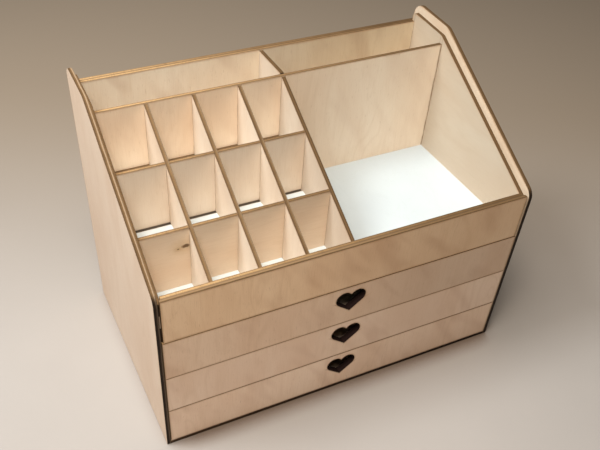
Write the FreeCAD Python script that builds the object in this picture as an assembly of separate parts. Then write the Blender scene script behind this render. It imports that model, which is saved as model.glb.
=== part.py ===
import FreeCAD, Part
import math
import os

# Desktop organizer of laser-cut plywood: three drawers under a tray of open compartments.
#
# Millimetres. X runs left to right, Y front to back, Z up. While it is built, Y is 0 at the front and
# Z is 0 at the underside. Each piece is moved on saving so that the origin is the middle of the footprint.
#
# The carcass has an inner shell, which every shelf, wall and divider is tabbed into, and outer skins that
# hide the tabs. Each drawer is a finger-jointed box behind an overlay front with a heart-shaped finger hole.

# ---- driving dimensions ----
width = 300.0
depth = 181.0
height = 228.0
board = 3.0
slant_angle = 28.5          # slope of the open top, from the horizontal
slant_length_y = 133.5      # how far back the slope runs before the top turns nearly level
rear_rise = 2.5             # how much the side panels still rise behind the bend
skin_radius = 10.0          # rounded corners of the outer side panels
inner_radius = 3.0          # the same corners of the panels inside them
inner_rear_radius = 4.0     # their top corners at the back
inner_drop = 7.0            # edge of the inner side panels below the edge of the outer ones
divider_drop = 12.5         # top edge of the dividers below the edge of the outer side panels
back_drop = 11.6            # top edge of the back panels below the bend of the side panels

slide_gap = 0.3             # running clearance under and behind a drawer
front_gaps = (0.5, 0.35, 0.35)   # gap above each drawer front, the bottom drawer first
front_side_gap = 0.6        # gap beside a drawer front and beside its box
drawer_pitch = 37.1
drawer_count = 3
drawer_box_height = 33.2
drawer_box_depth = 168.0

front_board_side_gap = 1.6
front_board_top = 153.3

cell_columns = 4
cell_rows = 3
cell_pitch_x = 36.0
cell_pitch_y = 43.4
centre_middle = 1.5         # the centre divider stands a little right of the middle
floor_rear_gap = 2.4        # gap behind each raised floor

heart_width = 25.0
heart_height = 20.0
heart_notch = 3.3           # depth of the notch between the lobes
heart_below_edge = 4.8      # lobes below the top edge of the drawer front
heart_middle = -0.9         # middle of the heart: it sits a little left of the middle of the drawer

# ---- derived places ----
inner_face = width / 2 - 2 * board             # inner face of the inner side panels
skin_face = width / 2 - board                  # inner face of the outer side panels
carcass_front = board + slide_gap              # front edge of the shelves and the inner sides
wall_rear = carcass_front + board              # rear face of the tray's front wall
back_face = depth - 2 * board                  # front face of the back wall
cover_face = depth - board                     # front face of the back cover

slope = math.tan(math.radians(slant_angle))
skin_front_top = height - slant_length_y * slope

seams = [board + drawer_pitch * (i + 1) for i in range(drawer_count)]
shelf_bottoms = [seam - board / 2 for seam in seams]
deck_bottom = shelf_bottoms[-1]
deck_top = deck_bottom + board                 # floor of the front cells and the rear compartments
bay_floors = [board] + [bottom + board for bottom in shelf_bottoms[:-1]]

front_wall_middle = carcass_front + board / 2
cross_middle = front_wall_middle + cell_rows * cell_pitch_y
row_middles = [front_wall_middle + i * cell_pitch_y for i in range(1, cell_rows)]
column_middles = [centre_middle - i * cell_pitch_x for i in range(cell_columns - 1, 0, -1)]
centre_left = centre_middle - board / 2
centre_right = centre_middle + board / 2
# the floors rise with the slant, so that every cell is as deep as the next
raised_floors = [deck_top + i * cell_pitch_y * slope for i in range(1, cell_rows)]


def slant_height(y, drop):
    """Height of the slanted edge at a distance y from the front, drop below the outer side panels' edge."""
    level = height - drop
    return min(level, skin_front_top + slope * y - drop / math.cos(math.radians(slant_angle)))


def slant_bend(drop):
    """Distance from the front at which the slanted edge turns level."""
    rise = height - drop - skin_front_top + drop / math.cos(math.radians(slant_angle))
    return rise / slope


# ---- shapes ----
def block(x0, x1, y0, y1, z0, z1):
    return Part.makeBox(x1 - x0, y1 - y0, z1 - z0, FreeCAD.Vector(x0, y0, z0))


def rounded_outline(corners):
    """Closed wire in the YZ plane. Each corner is (y, z, radius)."""
    points = [FreeCAD.Vector(0, y, z) for y, z, radius in corners]
    edges = []
    ends = []
    for i, (y, z, radius) in enumerate(corners):
        here = points[i]
        before = (points[i - 1] - here).normalize()
        after = (points[(i + 1) % len(points)] - here).normalize()
        if radius == 0:
            ends.append((here, here))
            continue
        half = before.getAngle(after) / 2
        reach = radius / math.tan(half)
        start = here + before * reach
        end = here + after * reach
        middle = here + (before + after).normalize() * (radius / math.sin(half) - radius)
        edges.append(Part.Arc(start, middle, end).toShape())
        ends.append((start, end))
    for i in range(len(points)):
        run = (ends[i][1], ends[(i + 1) % len(points)][0])
        edges.append(Part.makeLine(*run))
    return Part.Wire(Part.__sortEdges__(edges))


def side_plate(x0, corners):
    """A board standing front to back, from an outline in the YZ plane."""
    plate = Part.Face(rounded_outline(corners)).extrude(FreeCAD.Vector(board, 0, 0))
    plate.translate(FreeCAD.Vector(x0, 0, 0))
    return plate


def slanted_plate(x0, y0, y1, z0, drop, radius, rise=0, rear_radius=0):
    """A board front to back under the slope, with its top nearly level behind the bend."""
    bend = slant_bend(drop)
    corners = [(y0, z0, 0), (y0, slant_height(y0, drop), 0)]
    if y1 > bend:
        corners.append((bend, height - drop, radius))
    corners.append((y1, slant_height(y1, drop) + rise, rear_radius))
    corners.append((y1, z0, 0))
    return side_plate(x0, corners)


def heart_prism(top, y0, y1):
    """Solid heart, standing in the XZ plane, with its lobes' tops at the height top."""
    half = heart_width / 2
    # the lobes that give both the width and the depth of the notch
    radius = half + heart_notch - math.sqrt(2 * half * heart_notch)
    offset = half - radius
    tip = FreeCAD.Vector(heart_middle, y0, top - heart_height)
    notch = FreeCAD.Vector(heart_middle, y0, top - heart_notch)
    edges = []
    for side in (1, -1):
        centre = FreeCAD.Vector(heart_middle + side * offset, y0, top - radius)
        to_tip = tip - centre
        bearing = math.atan2(to_tip.z, side * to_tip.x)
        tangent_angle = bearing + math.acos(radius / to_tip.Length)
        touch = centre + FreeCAD.Vector(side * math.cos(tangent_angle), 0, math.sin(tangent_angle)) * radius
        crown = centre + FreeCAD.Vector(side * math.cos(math.pi / 4), 0, math.sin(math.pi / 4)) * radius
        edges.append(Part.Arc(notch, crown, touch).toShape())
        edges.append(Part.makeLine(touch, tip))
    outline = Part.Wire(Part.__sortEdges__(edges))
    return Part.Face(outline).extrude(FreeCAD.Vector(0, y1 - y0, 0))


# ---- joints ----
def spans(start, end, count):
    """count tabs along a line, as long as the gaps between and beside them."""
    step = (end - start) / (2 * count + 1)
    return [(start + (2 * i + 1) * step, start + (2 * i + 2) * step) for i in range(count)]


def tabs(x, y, z, count, along):
    """Tabs along a joint line. x, y and z are (low, high). along names the one the tabs repeat on."""
    limits = {"x": x, "y": y, "z": z}
    blocks = []
    for low, high in spans(*limits[along], count):
        limits[along] = (low, high)
        blocks.append(block(*limits["x"], *limits["y"], *limits["z"]))
    return blocks


pieces = {}


def joint(tabbed, slotted, blocks):
    """Give one piece tabs and cut the same places out of the other."""
    tool = blocks[0] if len(blocks) == 1 else blocks[0].fuse(blocks[1:])
    pieces[tabbed] = pieces[tabbed].fuse(tool)
    pieces[slotted] = pieces[slotted].cut(tool)


def half_lap(over, under, x, y, split):
    """Two boards that cross: over keeps its top half, under its bottom half, and they meet at split."""
    far = 2 * height
    pieces[over] = pieces[over].cut(block(*x, *y, -far, split))
    pieces[under] = pieces[under].cut(block(*x, *y, split, far))


def both_sides(low, high):
    """The X range of a joint at the left side, and its mirror image at the right."""
    return {"left": (-high, -low), "right": (low, high)}


# ---- carcass ----
def make_sides():
    skin = [
        (0, 0, 0),
        (0, skin_front_top, skin_radius),
        (slant_length_y, height, skin_radius),
        (depth, height + rear_rise, skin_radius),
        (depth, 0, 0),
    ]
    for side, x0 in (("left", -width / 2), ("right", skin_face)):
        pieces["outer_side_" + side] = side_plate(x0, skin)
    for side, x0 in (("left", -skin_face), ("right", inner_face)):
        pieces["inner_side_" + side] = slanted_plate(
            x0, carcass_front, cover_face, board, inner_drop, inner_radius, rear_rise, inner_rear_radius
        )


def make_base_and_back():
    pieces["base_panel"] = block(-skin_face, skin_face, 0, cover_face, 0, board)
    pieces["back_wall"] = block(-inner_face, inner_face, back_face, cover_face, board, height - back_drop)
    pieces["back_cover"] = block(-skin_face, skin_face, cover_face, depth, 0, height - back_drop)
    full_width = (-inner_face, inner_face)
    joint("back_wall", "base_panel", tabs(full_width, (back_face, cover_face), (0, board), 3, "x"))
    for side, x in both_sides(inner_face, skin_face).items():
        inner = "inner_side_" + side
        joint(inner, "base_panel", tabs(x, (carcass_front, back_face), (0, board), 2, "y"))
        joint("back_wall", inner, tabs(x, (back_face, cover_face), (board, height - back_drop), 3, "z"))


def make_shelves():
    names = ["drawer_shelf_lower", "drawer_shelf_upper", "deck_panel"]
    for name, bottom in zip(names, shelf_bottoms):
        z = (bottom, bottom + board)
        pieces[name] = block(-inner_face, inner_face, carcass_front, back_face, *z)
        joint(name, "back_wall", tabs((-inner_face, inner_face), (back_face, cover_face), z, 2, "x"))
        for side, x in both_sides(inner_face, skin_face).items():
            joint(name, "inner_side_" + side, tabs(x, (carcass_front, back_face), z, 2, "y"))


# ---- tray ----
def make_tray_shell():
    wall_y = (carcass_front, wall_rear)
    pieces["tray_front_wall"] = block(-inner_face, inner_face, *wall_y, deck_top, front_board_top)
    deck_z = (deck_bottom, deck_top)
    joint("tray_front_wall", "deck_panel", tabs((-inner_face, inner_face), wall_y, deck_z, 3, "x"))
    board_half = skin_face - front_board_side_gap
    board_low = seams[-1] + front_gaps[-1] / 2
    board_z = (board_low, front_board_top)
    pieces["front_board"] = block(-board_half, board_half, slide_gap, carcass_front, *board_z)
    side_top = slant_height(carcass_front, inner_drop)
    for side, x in both_sides(inner_face, skin_face).items():
        joint("tray_front_wall", "inner_side_" + side, tabs(x, wall_y, (deck_top, side_top), 1, "z"))


def make_cross_and_centre():
    cross_y = (cross_middle - board / 2, cross_middle + board / 2)
    cross_top = slant_height(cross_middle, divider_drop)
    centre_x = (centre_left, centre_right)
    pieces["cross_panel"] = block(-inner_face, inner_face, *cross_y, deck_top, cross_top)
    pieces["centre_divider"] = slanted_plate(centre_left, wall_rear, back_face, deck_top, divider_drop, 0)
    half_lap("cross_panel", "centre_divider", centre_x, cross_y, (deck_top + cross_top) / 2)
    for side, x in both_sides(inner_face, skin_face).items():
        joint("cross_panel", "inner_side_" + side, tabs(x, cross_y, (deck_top, cross_top), 2, "z"))
    deck_z = (deck_bottom, deck_top)
    for x in ((-inner_face, centre_left), (centre_right, inner_face)):
        joint("cross_panel", "deck_panel", tabs(x, cross_y, deck_z, 1, "x"))
    joint("centre_divider", "deck_panel", tabs(centre_x, (wall_rear, cross_y[0]), deck_z, 2, "y"))
    for wall, y, top in (
        ("tray_front_wall", (carcass_front, wall_rear), slant_height(wall_rear, divider_drop)),
        ("back_wall", (back_face, cover_face), height - divider_drop),
    ):
        joint("centre_divider", wall, tabs(centre_x, y, (deck_top, top), 2, "z"))
    floor_z = (deck_top, deck_top + board)
    pieces["tray_floor"] = block(centre_right, inner_face, wall_rear, cross_y[0], *floor_z)


def row_name(i):
    return "row_divider_%d" % (i + 1)


def column_name(i):
    return "column_divider_%d" % (i + 1)


def make_rows():
    """The boards across the cells."""
    for i, middle in enumerate(row_middles):
        y = (middle - board / 2, middle + board / 2)
        top = slant_height(middle, divider_drop)
        pieces[row_name(i)] = block(-inner_face, centre_left, *y, deck_top, top)
        z = (raised_floors[i], top)
        joint(row_name(i), "inner_side_left", tabs((-skin_face, -inner_face), y, z, 1, "z"))
        joint(row_name(i), "centre_divider", tabs((centre_left, centre_right), y, z, 1, "z"))
        deck_z = (deck_bottom, deck_top)
        joint(row_name(i), "deck_panel", tabs((-inner_face, centre_left), y, deck_z, 2, "x"))


def make_raised_floors():
    """The floors of the middle and rear row, each held by a tab at either end."""
    names = ["middle_floor", "rear_floor"]
    rears = row_middles[1:] + [cross_middle]
    for name, front, rear, top in zip(names, row_middles, rears, raised_floors):
        y = (front + board / 2, rear - board / 2 - floor_rear_gap)
        z = (top - board, top)
        pieces[name] = block(-inner_face, centre_left, *y, *z)
        joint(name, "inner_side_left", tabs((-skin_face, -inner_face), y, z, 1, "y"))
        joint(name, "centre_divider", tabs((centre_left, centre_right), y, z, 1, "y"))


def column_board(x0, y0, y1):
    """A cell divider: slanted on top, and stepped below where it stands on the raised floors."""
    plate = slanted_plate(x0, y0, y1, deck_top, divider_drop, 0)
    for middle, top in zip(row_middles, raised_floors):
        plate = plate.cut(block(x0, x0 + board, middle + board / 2, y1, 0, top))
    return plate


def make_columns():
    y0 = wall_rear
    y1 = cross_middle - board / 2
    front_z = (deck_top, slant_height(y0, divider_drop))
    rear_z = (raised_floors[-1], slant_height(y1, divider_drop))
    for i, middle in enumerate(column_middles):
        name = column_name(i)
        x = (middle - board / 2, middle + board / 2)
        pieces[name] = column_board(x[0], y0, y1)
        for j, row in enumerate(row_middles):
            row_y = (row - board / 2, row + board / 2)
            low = raised_floors[j]
            split = (low + slant_height(row, divider_drop)) / 2
            half_lap(name, row_name(j), x, row_y, split)
        joint(name, "tray_front_wall", tabs(x, (carcass_front, wall_rear), front_z, 1, "z"))
        joint(name, "cross_panel", tabs(x, (y1, y1 + board), rear_z, 1, "z"))


# ---- drawers ----
def make_drawer(number, floor, front_low, front_high):
    """One drawer: number 1 is at the top. floor is the height of the shelf that it runs on."""
    name = "drawer_%d_" % number
    half = inner_face - front_side_gap
    low = floor + slide_gap
    high = low + drawer_box_height
    rear = board + drawer_box_depth
    front_y = (board, 2 * board)
    rear_y = (rear - board, rear)
    front_half = skin_face - front_side_gap
    pieces[name + "front"] = block(-front_half, front_half, 0, board, front_low, front_high)
    pieces[name + "front_wall"] = block(-half, half, *front_y, low, high)
    pieces[name + "back_wall"] = block(-half, half, *rear_y, low, high)
    pieces[name + "bottom"] = block(-half + board, half - board, front_y[1], rear_y[0], low, low + board)
    for side, x in both_sides(half - board, half).items():
        side_name = name + "side_" + side
        pieces[side_name] = block(*x, front_y[1], rear_y[0], low, high)
        joint(side_name, name + "front_wall", tabs(x, front_y, (low, high), 1, "z"))
        joint(side_name, name + "back_wall", tabs(x, rear_y, (low, high), 1, "z"))
        joint(name + "bottom", side_name, tabs(x, (front_y[1], rear_y[0]), (low, low + board), 2, "y"))
    between_sides = (-half + board, half - board)
    for wall, y in (("front_wall", front_y), ("back_wall", rear_y)):
        joint(name + "bottom", name + wall, tabs(between_sides, y, (low, low + board), 2, "x"))
    heart = heart_prism(front_high - heart_below_edge, -board, 3 * board)
    for part in ("front", "front_wall"):
        pieces[name + part] = pieces[name + part].cut(heart)


def make_drawers():
    lows = [board + slide_gap] + [seam + gap / 2 for seam, gap in zip(seams, front_gaps[:-1])]
    highs = [seam - gap / 2 for seam, gap in zip(seams, front_gaps)]
    for i in range(drawer_count):
        make_drawer(drawer_count - i, bay_floors[i], lows[i], highs[i])


def save_pieces():
    os.makedirs("parts", exist_ok=True)
    for name, shape in pieces.items():
        shape = shape.removeSplitter()
        solids = shape.Solids
        if len(solids) != 1 or not shape.isValid():
            raise RuntimeError("%s has %d solids" % (name, len(solids)))
        solid = solids[0]
        solid.translate(FreeCAD.Vector(0, -depth / 2, 0))
        solid.exportStep("parts/%s.step" % name)
    print("saved", len(pieces), "pieces")


make_sides()
make_base_and_back()
make_shelves()
make_tray_shell()
make_cross_and_centre()
make_rows()
make_raised_floors()
make_columns()
make_drawers()
save_pieces()
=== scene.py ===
"""Looks of the laser-cut plywood organizer: birch plywood with charred edges, white-faced hardboard
floors, a pale table, soft light from the left, and the camera at the photograph's viewing angle."""

import bpy
import math
from mathutils import Matrix, Vector


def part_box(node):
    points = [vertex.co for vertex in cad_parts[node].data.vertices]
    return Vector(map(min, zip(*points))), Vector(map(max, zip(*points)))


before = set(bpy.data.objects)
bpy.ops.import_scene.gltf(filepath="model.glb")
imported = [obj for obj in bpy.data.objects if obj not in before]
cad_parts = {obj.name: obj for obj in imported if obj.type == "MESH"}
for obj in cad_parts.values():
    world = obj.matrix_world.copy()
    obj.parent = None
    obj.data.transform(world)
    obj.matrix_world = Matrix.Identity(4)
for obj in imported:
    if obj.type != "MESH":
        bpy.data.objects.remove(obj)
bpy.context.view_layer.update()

MM = 0.001
X, Y, Z = 0, 1, 2

# ---- sizes of the boards, in mm, as the CAD has them
HALF_DEPTH = 90.5
BOARD = 3.0
GLUE_LINES = (1.0, 2.0)                 # through the board's thickness
SLANT = math.radians(28.5)
SLOPE = math.tan(SLANT)
SLANT_START = 155.51                    # height of the outer side panels' slanted edge at the front
BACK_WALL_FACE = 84.5
INNER_LEFT_FACE = -144.0
INNER_RIGHT_FACE = 144.0
COLUMNS = (-106.5, -70.5, -34.5, 1.5)   # middles of the cell dividers
ROWS = (48.2, 91.6, 135.0)              # middles of the boards across, from the front
HEART_LOBE = 6.72                       # radius of a lobe, and how far its centre is from the middle
HEART_OFFSET = 5.78
HEART_MIDDLE = -0.9
HEART_TALL = 20.0
HEART_BELOW = 4.8                       # lobes below the top edge of the drawer front

# ---- colours, linear RGB
VENEER_LIGHT = (0.90, 0.745, 0.585)
VENEER_TAN = (0.83, 0.65, 0.487)
VENEER_BROWN = (0.62, 0.44, 0.28)
VENEER_STREAK = (0.92, 0.80, 0.64)
FLECK = (0.40, 0.26, 0.15)
BLOTCH = (0.50, 0.30, 0.19)
KNOT_STAIN = (0.52, 0.35, 0.17)
KNOT_HEART = (0.13, 0.07, 0.03)
SMOKE = (0.42, 0.235, 0.10)
SCORCHED_RIM = (0.20, 0.105, 0.05)
JOINT_LINE = (0.24, 0.15, 0.085)
CUT_PALE = (0.40, 0.255, 0.125)
CUT_BROWN = (0.17, 0.10, 0.044)
CUT_BLACK = (0.085, 0.046, 0.016)
CUT_GLUE = (0.06, 0.034, 0.018)
CUT_MARK = (0.08, 0.046, 0.024)
CUT_CORNER = (0.055, 0.032, 0.016)
# the cut inside the heart holes: charred, and darkened further as painted shade
CUT_HEART_SHADE = (0.014, 0.004, 0.003)
FRONT_EDGE_SHADE = (1.0, 0.8, 0.7)            # painted shade: a factor on the cut's colour where it faces forward, away from the light
WHITE_FACE = (0.494, 0.561, 0.606)
WHITE_DULL = (0.47, 0.536, 0.587)
WHITE_VEIN = (0.40, 0.455, 0.475)
WHITE_SMOKE = (0.45, 0.32, 0.20)
HARDBOARD_DARK = (0.16, 0.09, 0.045)
HARDBOARD_LIGHT = (0.30, 0.19, 0.11)
TABLE_LIGHT = (0.377, 0.356, 0.347)
TABLE_DULL = (0.354, 0.334, 0.325)
TABLE_FAR_SHADE = (0.293, 0.239, 0.188)
TABLE_GRIT = (0.30, 0.27, 0.24)
TABLE_CONTACT_SHADE = (0.12, 0.07, 0.04)


def scaled(colour, factor):
    return tuple(factor * value for value in colour)


# ---------------------------------------------------------------- node helpers
class Tree:
    """A material's node tree, with short calls for the nodes used here. Its positions are in mm."""

    def __init__(self, name):
        self.material = bpy.data.materials.new(name)
        self.material.use_nodes = True
        self.tree = self.material.node_tree
        self.tree.nodes.clear()
        coords = self.add("ShaderNodeTexCoord")
        self.position = self.vmath("MULTIPLY", coords.outputs["Object"], [1 / MM] * 3)
        self.xyz = self.split(self.position)
        self.normal = self.split(coords.outputs["Normal"])

    def add(self, kind, **settings):
        node = self.tree.nodes.new(kind)
        for key, value in settings.items():
            setattr(node, key, value)
        return node

    def link(self, source, socket):
        """Feed a socket from another socket, or give it a plain value."""
        if isinstance(source, bpy.types.NodeSocket):
            self.tree.links.new(source, socket)
        else:
            socket.default_value = source

    def split(self, vector):
        node = self.add("ShaderNodeSeparateXYZ")
        self.link(vector, node.inputs[0])
        return list(node.outputs)

    def math(self, operation, a, b=0.0, c=0.0):
        node = self.add("ShaderNodeMath", operation=operation)
        for socket, value in zip(node.inputs, (a, b, c)):
            self.link(value, socket)
        return node.outputs[0]

    def vmath(self, operation, a, b):
        node = self.add("ShaderNodeVectorMath", operation=operation)
        self.link(a, node.inputs[0])
        self.link(b, node.inputs[1])
        return node.outputs[0]

    def length(self, vector):
        node = self.add("ShaderNodeVectorMath", operation="LENGTH")
        self.link(vector, node.inputs[0])
        return node.outputs["Value"]

    def smooth(self, value, low, high, out_low=0.0, out_high=1.0):
        """A smooth step from out_low to out_high as value goes from low to high, which may be the lower."""
        node = self.add("ShaderNodeMapRange", interpolation_type="SMOOTHSTEP")
        for socket, item in zip(node.inputs, (value, low, high, out_low, out_high)):
            self.link(item, socket)
        return node.outputs[0]

    def noise(self, vector, detail=2.0, roughness=0.5, distortion=0.0):
        node = self.add("ShaderNodeTexNoise")
        self.link(vector, node.inputs["Vector"])
        settings = {"Scale": 1.0, "Detail": detail, "Roughness": roughness, "Distortion": distortion}
        for name, value in settings.items():
            node.inputs[name].default_value = value
        return node.outputs["Fac"]

    def stretch(self, scales, shift):
        """The position, scaled along each axis and shifted."""
        return self.vmath("ADD", self.vmath("MULTIPLY", self.position, scales), shift)

    def cloud(self, scale, shift, detail=2.0, roughness=0.5):
        """Noise that is the same size along every axis."""
        return self.noise(self.stretch([scale] * 3, shift), detail, roughness)

    def mix(self, factor, a, b, blend="MIX"):
        colour_a, colour_b, colour_out = 6, 7, 2        # the Mix node's colour sockets
        node = self.add("ShaderNodeMix", data_type="RGBA", blend_type=blend)
        self.link(factor, node.inputs["Factor"])
        for index, value in ((colour_a, a), (colour_b, b)):
            is_socket = isinstance(value, bpy.types.NodeSocket)
            self.link(value if is_socket else (*value, 1.0), node.inputs[index])
        return node.outputs[colour_out]

    def near(self, value, place):
        """How far value is from place, either way."""
        return self.math("ABSOLUTE", self.math("SUBTRACT", value, place))

    def lowest(self, values):
        result = values[0]
        for value in values[1:]:
            result = self.math("MINIMUM", result, value)
        return result

    def finish(self, colour, roughness, height, bump_distance, specular):
        shader = self.add("ShaderNodeBsdfPrincipled")
        self.link(colour, shader.inputs["Base Color"])
        self.link(roughness, shader.inputs["Roughness"])
        shader.inputs["Specular IOR Level"].default_value = specular
        bump = self.add("ShaderNodeBump")
        bump.inputs["Strength"].default_value = 0.6
        bump.inputs["Distance"].default_value = bump_distance
        self.link(height, bump.inputs["Height"])
        self.link(bump.outputs[0], shader.inputs["Normal"])
        output = self.add("ShaderNodeOutputMaterial")
        self.link(shader.outputs[0], output.inputs["Surface"])
        return self.material


# ---------------------------------------------------------------- plates
class Plate:
    """What a material has to know about one board: its box in mm and which way it is thin."""

    def __init__(self, name):
        low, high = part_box(name)
        self.name = name
        self.low = [v / MM for v in low]
        self.high = [v / MM for v in high]
        sizes = [self.high[i] - self.low[i] for i in range(3)]
        self.thin = sizes.index(min(sizes))
        self.flat = [i for i in range(3) if i != self.thin]


def edge_distance(t, plate, slant_drop=None):
    """Distance in mm from the board's outline, on its faces. slant_drop is how far the board's slanted
    edge lies below that of the outer side panels, square to it."""
    items = []
    for axis in plate.flat:
        items.append(t.math("SUBTRACT", t.xyz[axis], plate.low[axis]))
        items.append(t.math("SUBTRACT", plate.high[axis], t.xyz[axis]))
    if slant_drop is not None:
        cosine = math.cos(SLANT)
        middle_height = SLANT_START + SLOPE * HALF_DEPTH - slant_drop / cosine
        line = t.math("MULTIPLY_ADD", t.xyz[Y], SLOPE, middle_height)
        items.append(t.math("MULTIPLY", t.math("SUBTRACT", line, t.xyz[Z]), cosine))
    return t.lowest(items)


def heart_distance(t, lobe_top):
    """Distance in mm outside a heart-shaped hole whose lobes reach up to lobe_top."""
    side = t.near(t.xyz[X], HEART_MIDDLE)
    across = t.math("SUBTRACT", side, HEART_OFFSET)
    up = t.math("SUBTRACT", t.xyz[Z], lobe_top - HEART_LOBE)
    squared = t.math("ADD", t.math("MULTIPLY", across, across), t.math("MULTIPLY", up, up))
    lobe = t.math("SUBTRACT", t.math("SQRT", squared), HEART_LOBE)
    # the straight flank, from the tip: its outward normal leans down
    reach = math.hypot(HEART_OFFSET, HEART_TALL - HEART_LOBE)
    lean = math.atan2(HEART_OFFSET, HEART_TALL - HEART_LOBE) + math.asin(HEART_LOBE / reach)
    above_tip = t.math("SUBTRACT", t.xyz[Z], lobe_top - HEART_TALL)
    flank = t.math(
        "SUBTRACT",
        t.math("MULTIPLY", side, math.cos(lean)),
        t.math("MULTIPLY", above_tip, math.sin(lean)),
    )
    # the flanks end a little under the lobes' centres, where they meet the lobes
    flank_top = -HEART_LOBE * math.sin(lean) * 0.6
    flank = t.math("MAXIMUM", flank, t.math("SUBTRACT", up, flank_top))
    return t.math("MINIMUM", lobe, flank)


def cut_mask(t, plate):
    """1 on the cut edges, 0 on the faces."""
    return t.smooth(t.math("ABSOLUTE", t.normal[plate.thin]), 0.6, 0.4)


# ---------------------------------------------------------------- birch plywood
def veneer(t, plate, shift, grain, tone, figure, blotch):
    """The face veneer's colour, and the streaks, fibres and flecks that its relief follows."""

    def drawn_out(along, across):
        """Scales for a texture drawn out along the grain, for features of this size in mm."""
        scales = [1.0 / across] * 3
        scales[grain] = 1.0 / along
        scales[plate.thin] = 0.2
        return scales

    light, tan, brown = (scaled(colour, tone) for colour in (VENEER_LIGHT, VENEER_TAN, VENEER_BROWN))
    # slow drift of colour across the sheet
    drift = t.noise(t.stretch(drawn_out(160, 55), shift), 3.0, 0.55, 0.4)
    colour = t.mix(t.smooth(drift, 0.34, 0.68), light, tan)
    # the darker bands that the growth rings leave: a warped wave across the grain that fades in and out
    ring_warp, ring_pitch = 46.0, 0.32
    warp = t.noise(t.stretch(drawn_out(120, 26), shift), 2.0, 0.5, 0.8)
    cross_axis = [axis for axis in plate.flat if axis != grain][0]
    wave = t.math("MULTIPLY", t.xyz[cross_axis], ring_pitch)
    wave = t.math("SINE", t.math("MULTIPLY_ADD", warp, ring_warp, wave))
    rings = t.math("POWER", t.math("MULTIPLY_ADD", wave, 0.5, 0.5), 3.0)
    fade = t.noise(t.stretch(drawn_out(90, 40), (shift[1], shift[2], shift[0])), 1.0)
    rings = t.math("MULTIPLY", rings, t.smooth(fade, 0.42, 0.62))
    colour = t.mix(t.math("MULTIPLY", rings, 0.34 * figure), colour, brown)
    # streaks, darker and paler
    streaks = t.noise(t.stretch(drawn_out(60, 2.2), shift), 4.0, 0.6)
    colour = t.mix(t.smooth(streaks, 0.50, 0.80, 0.0, 0.10 + 0.4 * figure), colour, tan)
    paler = t.smooth(streaks, 0.30, 0.12, 0.0, 0.15 + 0.55 * figure)
    colour = t.mix(paler, colour, scaled(VENEER_STREAK, tone))
    # single fibres, and the short flecks of the rays
    fibres = t.noise(t.stretch(drawn_out(14, 0.45), shift), 3.0, 0.65)
    colour = t.mix(t.smooth(fibres, 0.45, 0.85, 0.0, 0.30), colour, brown)
    flecks = t.smooth(t.noise(t.stretch(drawn_out(5.0, 0.5), shift), 1.0, 0.4), 0.69, 0.76)
    colour = t.mix(t.math("MULTIPLY", flecks, 0.22), colour, FLECK)
    if blotch:
        slanted = t.add("ShaderNodeVectorRotate", rotation_type="Y_AXIS")
        slanted.inputs["Angle"].default_value = math.radians(35.0)
        t.link(t.position, slanted.inputs["Vector"])
        cloudy = t.vmath("MULTIPLY", slanted.outputs[0], (0.055, 0.03, 0.018))
        cloudy = t.noise(t.vmath("ADD", cloudy, shift), 1.5, 0.5, 0.2)
        colour = t.mix(t.smooth(cloudy, 0.48, 0.72, 0.0, blotch), colour, scaled(BLOTCH, tone))
    return colour, streaks, fibres, flecks


def with_knots(t, colour, shift, grain, knots):
    """Knots, each (x, y, z, radius) in mm: a dark heart, and a stain that runs out along the grain."""
    scales = [1.0, 1.0, 1.0]
    scales[grain] = 0.62
    for x, y, z, radius in knots:
        delta = t.vmath("SUBTRACT", t.position, (x, y, z))
        out = t.length(t.vmath("MULTIPLY", delta, scales))
        wobble = t.math("SUBTRACT", t.cloud(0.35, shift), 0.5)
        out = t.math("MULTIPLY_ADD", wobble, radius * 1.6, out)
        colour = t.mix(t.smooth(out, radius * 6.5, radius * 1.2, 0.0, 0.42), colour, KNOT_STAIN)
        colour = t.mix(t.smooth(out, radius * 1.5, radius * 0.7, 0.0, 0.92), colour, KNOT_HEART)
    return colour


def with_smoke(t, colour, shift, distance, smoke, rim):
    """Patchy smoke stain beside the laser's cut, and the scorched rim at the cut itself."""
    patchy = t.cloud(0.05, shift, 3.0, 0.6)
    reach = t.math("MULTIPLY_ADD", patchy, 3.4, 0.2)
    stain = t.smooth(t.math("DIVIDE", distance, reach), 1.0, 0.0, 0.0, smoke)
    colour = t.mix(stain, colour, SMOKE)
    return t.mix(t.smooth(distance, 0.55, 0.1, 0.0, rim), colour, SCORCHED_RIM)


def with_joint_lines(t, colour, shift, creases, depth):
    """Dark lines, each (axis, place in mm), where other boards pass through or butt against this one."""
    for axis, place in creases:
        gap = t.near(t.xyz[axis], place)
        uneven = t.smooth(t.cloud(0.12, shift), 0.35, 0.6, 0.35 * depth, depth)
        line = t.math("MULTIPLY", t.smooth(gap, 0.5, 0.15), uneven)
        colour = t.mix(line, colour, JOINT_LINE)
    return colour


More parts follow.
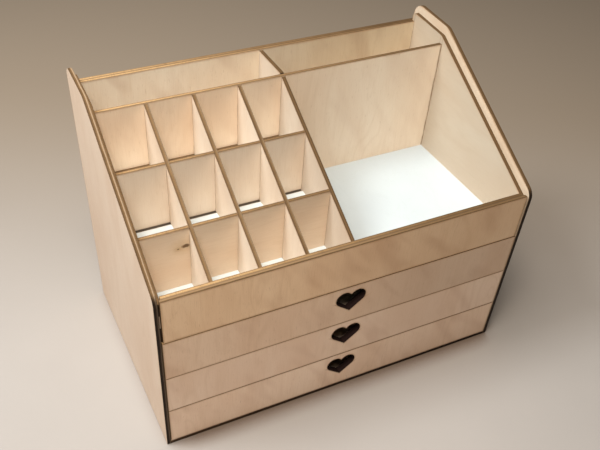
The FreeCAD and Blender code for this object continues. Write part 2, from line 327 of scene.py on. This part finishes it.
def cut_edge(t, plate, shift, char, front_edge_shade, pale, heart_top):
    """The cut edges' colour, browned by the laser, with painted shade where they face forward and inside the
    hearts, and the cut marks and glue that its relief follows.
    """
    through = t.math("SUBTRACT", t.xyz[plate.thin], plate.low[plate.thin])
    from_other_face = t.math("SUBTRACT", BOARD, through)
    # three plies: the outer two and the core, with a glue line on each side of it
    first, second = GLUE_LINES
    core = t.math(
        "MULTIPLY",
        t.smooth(through, first - 0.15, first + 0.1),
        t.smooth(through, second + 0.15, second - 0.1),
    )
    glue = t.math("ADD", *(t.smooth(t.near(through, line), 0.16, 0.05) for line in GLUE_LINES))
    # cut marks run straight through the board
    ticks = [0.06] * 3
    for axis in plate.flat:
        ticks[axis] = 2.6
    cut_marks = t.noise(t.stretch(ticks, shift), 2.0, 0.5)
    # the cut is paler at the left-hand end and darker towards the right; char moves this along
    scorch = t.cloud(0.07, (shift[2], shift[0], shift[1]), 3.0, 0.6)
    spread = t.math("MULTIPLY_ADD", scorch, 110.0, t.math("ADD", t.xyz[X], char * 130.0 - 55.0))
    char_and_shade = t.mix(t.smooth(spread, -150.0, 30.0), CUT_PALE, CUT_BROWN)
    char_and_shade = t.mix(t.smooth(spread, 0.0, 150.0), char_and_shade, CUT_BLACK)
    char_and_shade = t.mix(1.0, char_and_shade, t.smooth(core, 0.0, 1.0, 1.0, 1.30), "MULTIPLY")
    char_and_shade = t.mix(t.math("MULTIPLY", glue, 0.45), char_and_shade, CUT_GLUE)
    char_and_shade = t.mix(t.smooth(cut_marks, 0.45, 0.75, 0.0, 0.4), char_and_shade, CUT_MARK)
    # how much the cut faces forward, away from the light: the mask for the painted shade
    forward = t.smooth(t.math("MULTIPLY", t.normal[Y], -1.0), 0.5, 0.95)
    if pale is not None:
        side, pale_depth, pale_colour = pale
        depth_in = through if side < 0 else from_other_face
        uneven = t.math("MULTIPLY_ADD", scorch, 0.8, t.math("ADD", depth_in, -0.4))
        paled = t.smooth(uneven, pale_depth + 0.3, pale_depth - 0.3)
        paled = t.math("MULTIPLY", paled, t.smooth(spread, 120.0, 330.0, 1.0, 0.25))
        # painted shade: the pale ply is darker where the cut faces forward
        char_and_shade = t.mix(paled, char_and_shade, t.mix(forward, pale_colour, scaled(pale_colour, 0.35)))
        forward = t.math("MULTIPLY", forward, t.math("SUBTRACT", 1.0, paled))
    # the corners of the cut are charred a little darker than its middle
    corner = t.math("MINIMUM", through, from_other_face)
    char_and_shade = t.mix(t.smooth(corner, 0.75, 0.2, 0.0, 0.5), char_and_shade, CUT_CORNER)
    # painted shade: the edges that face forward, away from the light, are darkened most
    char_and_shade = t.mix(forward, char_and_shade, t.mix(1.0, char_and_shade, scaled(FRONT_EDGE_SHADE, front_edge_shade), "MULTIPLY"))
    # painted shade: inside the heart holes the cut is nearly black, charred and darkened for the shade in
    # the hole
    if heart_top is not None:
        char_and_shade = t.mix(t.smooth(heart_distance(t, heart_top), 0.6, 0.3), char_and_shade, CUT_HEART_SHADE)
    return char_and_shade, cut_marks, glue


def birch(plate, seed, grain, tone=1.0, tone_right=None, tint=None, figure=0.5, blotch=0.0,
          slant_drop=None, heart_top=None, knots=(), creases=(), crease_depth=0.5, front_edge_shade=0.16,
          char=0.0, smoke=0.5, rim=0.6, pale=None, slot_top=None, gap_shade_colour=(0.19, 0.155, 0.125)):
    """Birch plywood: veneer on the faces, three charred plies on the cut edges.

    grain is the axis that the veneer's fibres run along. tone and tint scale the face's colour, and
    tone_right is one more tint, which comes in towards the right-hand end; on some boards these paint light
    and shade. figure is the strength of the growth rings and streaks, blotch that of the cloudy patches.
    char darkens the cut edges, and front_edge_shade is what is left of the colour of those that face
    forward: painted
    shade. pale is (side, depth in mm, colour): the side of the thickness, +1 or -1, on which the cut edge
    stayed paler. Below slot_top, among the cells, the face is painted dark: painted shade in the gap behind
    a floor.
    """
    t = Tree("birch_" + plate.name)
    shift = (seed * 37.0, seed * 22.6 + 5.0, seed * 50.7 + 11.0)

    colour, streaks, fibres, flecks = veneer(t, plate, shift, grain, tone, figure, blotch)
    if tint is not None:
        colour = t.mix(1.0, colour, tint, "MULTIPLY")
    if tone_right is not None:
        toned = t.mix(1.0, colour, tone_right, "MULTIPLY")
        colour = t.mix(t.smooth(t.xyz[X], -70.0, 90.0), colour, toned)
    colour = with_knots(t, colour, shift, grain, knots)
    distance = edge_distance(t, plate, slant_drop)
    if heart_top is not None:
        distance = t.math("MINIMUM", distance, heart_distance(t, heart_top))
    colour = with_smoke(t, colour, shift, distance, smoke, rim)
    colour = with_joint_lines(t, colour, shift, creases, crease_depth)
    # painted shade: below the floor's top, among the cells, the face is painted dark for the shaded gap
    # behind the floor
    if slot_top is not None:
        low_enough = t.smooth(t.xyz[Z], slot_top + 0.5, slot_top + 0.1)
        among_cells = t.smooth(t.xyz[X], COLUMNS[-1] + 0.1, COLUMNS[-1] - 0.1)
        colour = t.mix(t.math("MULTIPLY", low_enough, among_cells), colour, gap_shade_colour)

    char_and_shade, cut_marks, glue = cut_edge(t, plate, shift, char, front_edge_shade, pale, heart_top)
    is_edge = cut_mask(t, plate)
    colour = t.mix(is_edge, colour, char_and_shade)

    roughness = t.math("MULTIPLY_ADD", fibres, 0.16, 0.50)
    roughness = t.math("ADD", roughness, t.math("MULTIPLY", is_edge, 0.2))
    relief = t.math("MULTIPLY_ADD", fibres, 0.6, t.math("MULTIPLY", flecks, -0.5))
    relief = t.math("MULTIPLY_ADD", streaks, 0.5, relief)
    ribs = t.math("MULTIPLY_ADD", cut_marks, 1.4, t.math("MULTIPLY", glue, -0.8))
    relief = t.math(
        "ADD",
        t.math("MULTIPLY", relief, t.math("SUBTRACT", 1.0, is_edge)),
        t.math("MULTIPLY", ribs, is_edge),
    )
    return t.finish(colour, roughness, relief, bump_distance=0.22 * MM, specular=0.28)


# ---------------------------------------------------------------- white-faced hardboard
def white_board(plate, seed, gain):
    """White-faced hardboard: satin white on its faces, brown fibre where it is cut."""
    t = Tree("white_" + plate.name)
    shift = (seed * 31.0, seed * 17.0 + 3.0, seed * 43.0)
    cloud = t.cloud(0.016, shift, 3.0, 0.6)
    veins = t.noise(t.stretch((0.03, 0.012, 0.03), shift), 5.0, 0.7, 1.6)
    peel = t.cloud(0.9, shift)
    white, dull, vein = (scaled(colour, gain) for colour in (WHITE_FACE, WHITE_DULL, WHITE_VEIN))
    colour = t.mix(t.smooth(cloud, 0.35, 0.7), white, dull)
    colour = t.mix(t.smooth(t.near(veins, 0.5), 0.012, 0.0, 0.0, 0.20), colour, vein)
    colour = t.mix(t.smooth(edge_distance(t, plate), 1.2, 0.1, 0.0, 0.4), colour, WHITE_SMOKE)
    fibre = t.noise(t.stretch((1.4, 1.4, 3.0), shift), 3.0, 0.7)
    is_edge = cut_mask(t, plate)
    colour = t.mix(is_edge, colour, t.mix(t.smooth(fibre, 0.35, 0.7), HARDBOARD_DARK, HARDBOARD_LIGHT))
    roughness = t.math("MULTIPLY_ADD", peel, 0.10, 0.36)
    roughness = t.math("MULTIPLY_ADD", is_edge, 0.4, roughness)
    relief = t.math("MULTIPLY_ADD", fibre, is_edge, t.math("MULTIPLY", peel, 0.35))
    return t.finish(colour, roughness, relief, bump_distance=0.08 * MM, specular=0.4)


# ---------------------------------------------------------------- each board's own settings
WHITE = {"tray_floor": 1.02, "middle_floor": 1.3, "rear_floor": 1.3, "deck_panel": 1.35}


def crossings(places):
    """Joint lines on both faces of each board that crosses."""
    half = BOARD / 2
    return [side for place in places for side in (place - half, place + half)]


def birch_settings():
    """What birch() is given for each node."""
    wood = {name: dict(grain=Z, figure=0.4, tone=0.92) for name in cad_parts}
    column_lines = [(X, place) for place in crossings(COLUMNS)]
    row_lines = [(Y, place - HALF_DEPTH) for place in crossings(ROWS)]
    cross_panel_lines = row_lines[-2:]

    # sides
    for side, outside, inside in (("left", 1.9, 0.85), ("right", 0.1, 0.15)):
        wood["outer_side_" + side] = dict(grain=Z, slant_drop=0.0, front_edge_shade=0.15, char=outside,
                                          rim=0.35, figure=0.3)
        wood["inner_side_" + side] = dict(grain=Y, slant_drop=7.0, figure=0.3, creases=row_lines,
                                          char=inside, tone=0.95)
    wood["outer_side_left"].update(pale=(1, 1.1, (0.33, 0.23, 0.145)), tone=0.82, tint=(1.0, 0.97, 0.99))
    # painted shade: the low tones of outer_side_right and inner_side_right darken their faces that look
    # left, which lie in shade
    wood["outer_side_right"].update(pale=(-1, 0.45, (0.34, 0.23, 0.14)), tone=0.75)
    # the rows of cells end before the right side, so only the cross panel, with one more line in front
    # of it, and the back wall meet it
    wood["inner_side_right"].update(creases=cross_panel_lines + [(Y, 42.5), (Y, BACK_WALL_FACE)],
                                    crease_depth=0.75, tone=0.61, tint=(0.96, 1.01, 1.04))

    # base and back
    wood["base_panel"] = dict(grain=X, front_edge_shade=0.14)
    # painted light and shade: tone and tint lighten the back wall where light falls in at the left, and
    # tone_right darkens its right-hand end, which lies in shade
    wood["back_wall"] = dict(grain=Z, figure=0.3, blotch=0.25, tone=1.08, tone_right=(0.76, 0.69, 0.59),
                             tint=(0.99, 1.12, 1.24), char=-0.15, rim=0.3)
    wood["back_cover"] = dict(grain=X, char=0.1, rim=0.3)

    # dividers
    for name in ("column_divider_1", "column_divider_2", "column_divider_3", "centre_divider"):
        wood[name] = dict(grain=Z, slant_drop=12.5, figure=0.3, creases=row_lines, char=1.0, tone=0.86,
                          rim=0.35, tint=(1.0, 1.04, 1.10), pale=(1, 0.8, (0.26, 0.18, 0.105)))
    wood["centre_divider"].update(char=0.9, tone=0.70, pale=None)
    # painted shade: below the middle and rear floors' tops, row_divider_2 and cross_panel are painted dark
    # among the cells, for the shaded gap behind those floors
    middle_floor_top, rear_floor_top = (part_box(name)[1][Z] / MM for name in ("middle_floor", "rear_floor"))
    for name, tone in (("row_divider_1", 0.91), ("row_divider_2", 0.95)):
        wood[name] = dict(grain=Z, figure=0.3, creases=column_lines, crease_depth=0.35, char=0.5, tone=tone)
    wood["row_divider_2"].update(slot_top=middle_floor_top, tint=(1.0, 1.06, 1.14),
                                 tone_right=(1.0, 0.95, 0.90))
    knot_y = ROWS[0] - BOARD / 2 - HALF_DEPTH
    wood["row_divider_1"].update(grain=X, knots=((-111.5, knot_y, 152.5, 1.5),
                                                 (-116.5, knot_y, 151.0, 0.45)))
    # three lines side by side make the wide dark one in the right-hand corner
    corner_lines = [(X, INNER_LEFT_FACE), (X, 143.4), (X, 143.7), (X, INNER_RIGHT_FACE)]
    wood["cross_panel"] = dict(grain=Z, figure=0.4, blotch=0.12, creases=column_lines + corner_lines,
                               crease_depth=0.45, slot_top=rear_floor_top, gap_shade_colour=(0.33, 0.21, 0.11),
                               char=-0.15, tone_right=(1.05, 1.11, 1.17))

    # front
    wood["tray_front_wall"] = dict(grain=X, creases=column_lines)
    # painted shade: tone_right darkens the front board and the drawer fronts towards the right, away from
    # the light
    wood["front_board"] = dict(grain=Z, char=1.6, rim=0.35, blotch=0.36, tone_right=(0.8, 0.8, 0.8),
                               tint=(1.0, 0.88, 0.75), pale=(1, 1.9, (0.235, 0.15, 0.08)))
    fronts = ((1, 0.945, 0.76, (1.0, 0.90, 0.85)), (2, 1.01, 0.86, (1.0, 0.93, 0.93)),
              (3, 1.07, 0.865, (1.0, 0.935, 0.935)))
    for n, tone, right, tint in fronts:
        front = "drawer_%d_front" % n
        lobe_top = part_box(front)[1][Z] / MM - HEART_BELOW
        wood[front] = dict(grain=Z, heart_top=lobe_top, smoke=0.35, rim=0.35, blotch=0.24, tone=tone,
                           tone_right=(right, right, right), tint=tint)
        wood[front + "_wall"] = dict(grain=X, heart_top=lobe_top, smoke=0.8, tone=0.7)
    return wood


def materials():
    """Give every node its own material: each is another cut of the sheet, by its seed."""
    wood = birch_settings()
    for seed, name in enumerate(sorted(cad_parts)):
        plate = Plate(name)
        if name in WHITE:
            made = white_board(plate, seed, WHITE[name])
        else:
            made = birch(plate, seed, **wood[name])
        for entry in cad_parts[name].material_slots:
            entry.link = "OBJECT"
            entry.material = made


materials()


# ---------------------------------------------------------------- table
def table():
    """A wide pale table top: one flat sheet a hair under the object, with painted shade towards the back and
    right and beside the boards.
    """
    reach = 6.0
    gap = 0.2 * MM
    corners = [(-reach, -reach, 0), (reach, -reach, 0), (reach, reach, 0), (-reach, reach, 0)]
    mesh = bpy.data.meshes.new("table")
    mesh.from_pydata(corners, [], [(0, 1, 2, 3)])
    top = bpy.data.objects.new("table", mesh)
    top.location.z = -gap
    bpy.context.scene.collection.objects.link(top)
    t = Tree("table_top")
    still = (0, 0, 0)
    cloud = t.cloud(0.004, still, 3.0, 0.55)
    grit = t.cloud(0.5, still, 3.0, 0.6)
    # painted shade: warmer and darker towards the back and the right, where less light falls
    along = t.math("MULTIPLY_ADD", t.xyz[X], 0.5, t.xyz[Y])
    colour = t.mix(t.smooth(cloud, 0.35, 0.7), TABLE_DULL, TABLE_LIGHT)
    colour = t.mix(t.smooth(along, -150.0, 450.0), colour, TABLE_FAR_SHADE)
    colour = t.mix(t.smooth(grit, 0.6, 0.85, 0.0, 0.25), colour, TABLE_GRIT)
    # painted shade: the strip of table close to the boards, except along the left side, gets the least
    # light, and that light has come off the wood
    contact_ao = t.add("ShaderNodeAmbientOcclusion", samples=8)
    contact_ao.inputs["Distance"].default_value = 25 * MM
    contact_shade = t.smooth(contact_ao.outputs["AO"], 0.9, 0.5, 0.0, 0.85)
    contact_shade = t.math("MULTIPLY", contact_shade, t.smooth(t.xyz[X], -165.0, -120.0))
    colour = t.mix(contact_shade, colour, TABLE_CONTACT_SHADE)
    top.data.materials.append(t.finish(colour, 0.55, grit, bump_distance=0.1 * MM, specular=0.3))


table()


# ---------------------------------------------------------------- light
def area(name, place, size, power, colour):
    """A square lamp, size metres across and power watts, that faces the middle of the object."""
    middle = Vector((0.0, 0.0, 0.12))
    data = bpy.data.lights.new(name, "AREA")
    data.shape = "RECTANGLE"
    data.size = data.size_y = size
    data.energy = power
    data.color = colour
    lamp = bpy.data.objects.new(name, data)
    lamp.location = place
    lamp.rotation_mode = "QUATERNION"
    lamp.rotation_quaternion = (middle - Vector(place)).to_track_quat("-Z", "Y")
    bpy.context.scene.collection.objects.link(lamp)


area("window", (-0.75, 0.15, 1.15), 0.35, 9.0, (0.956, 1.0, 1.0))
area("overhead", (-0.5, 0.1, 1.3), 1.0, 15.6, (1.0, 0.955, 0.878))
area("front_left", (-0.35, -0.45, 1.2), 0.4, 12.6, (1.0, 0.889, 0.746))

world = bpy.data.worlds.new("room")
world.use_nodes = True
background = world.node_tree.nodes["Background"]
background.inputs["Color"].default_value = (1.0, 0.92, 0.84, 1.0)
background.inputs["Strength"].default_value = 0.03
scene = bpy.context.scene
scene.world = world
scene.view_settings.view_transform = "Standard"
scene.view_settings.look = "None"


# ---------------------------------------------------------------- camera
def camera():
    """The viewing position, as a fit of the object's own edges gives it."""
    # pixels
    image_width, image_height = 600.0, 450.0
    focal = 740.81
    centre_across, centre_down = 263.51, 280.57
    # mm, the eye's place from the middle of the object's front edge
    sensor = 36.0
    eye_x, eye_y, eye_z = -229.563, -320.616, 488.528

    data = bpy.data.cameras.new("camera")
    data.sensor_width = sensor
    data.lens = focal * sensor / image_width
    data.shift_x = (image_width / 2 - centre_across) / image_width
    data.shift_y = (centre_down - image_height / 2) / image_width
    data.clip_start = 0.01
    data.clip_end = 50.0
    eye = bpy.data.objects.new("camera", data)
    right = Vector((0.910516, -0.412449, 0.029095))
    down = Vector((-0.266463, -0.639133, -0.721462))
    ahead = Vector((0.316161, 0.649150, -0.691843))
    turn = Matrix((right, -down, -ahead)).transposed()
    place = Vector((eye_x, eye_y - HALF_DEPTH, eye_z)) * MM
    eye.matrix_world = Matrix.Translation(place) @ turn.to_4x4()
    scene.collection.objects.link(eye)
    scene.camera = eye


camera()
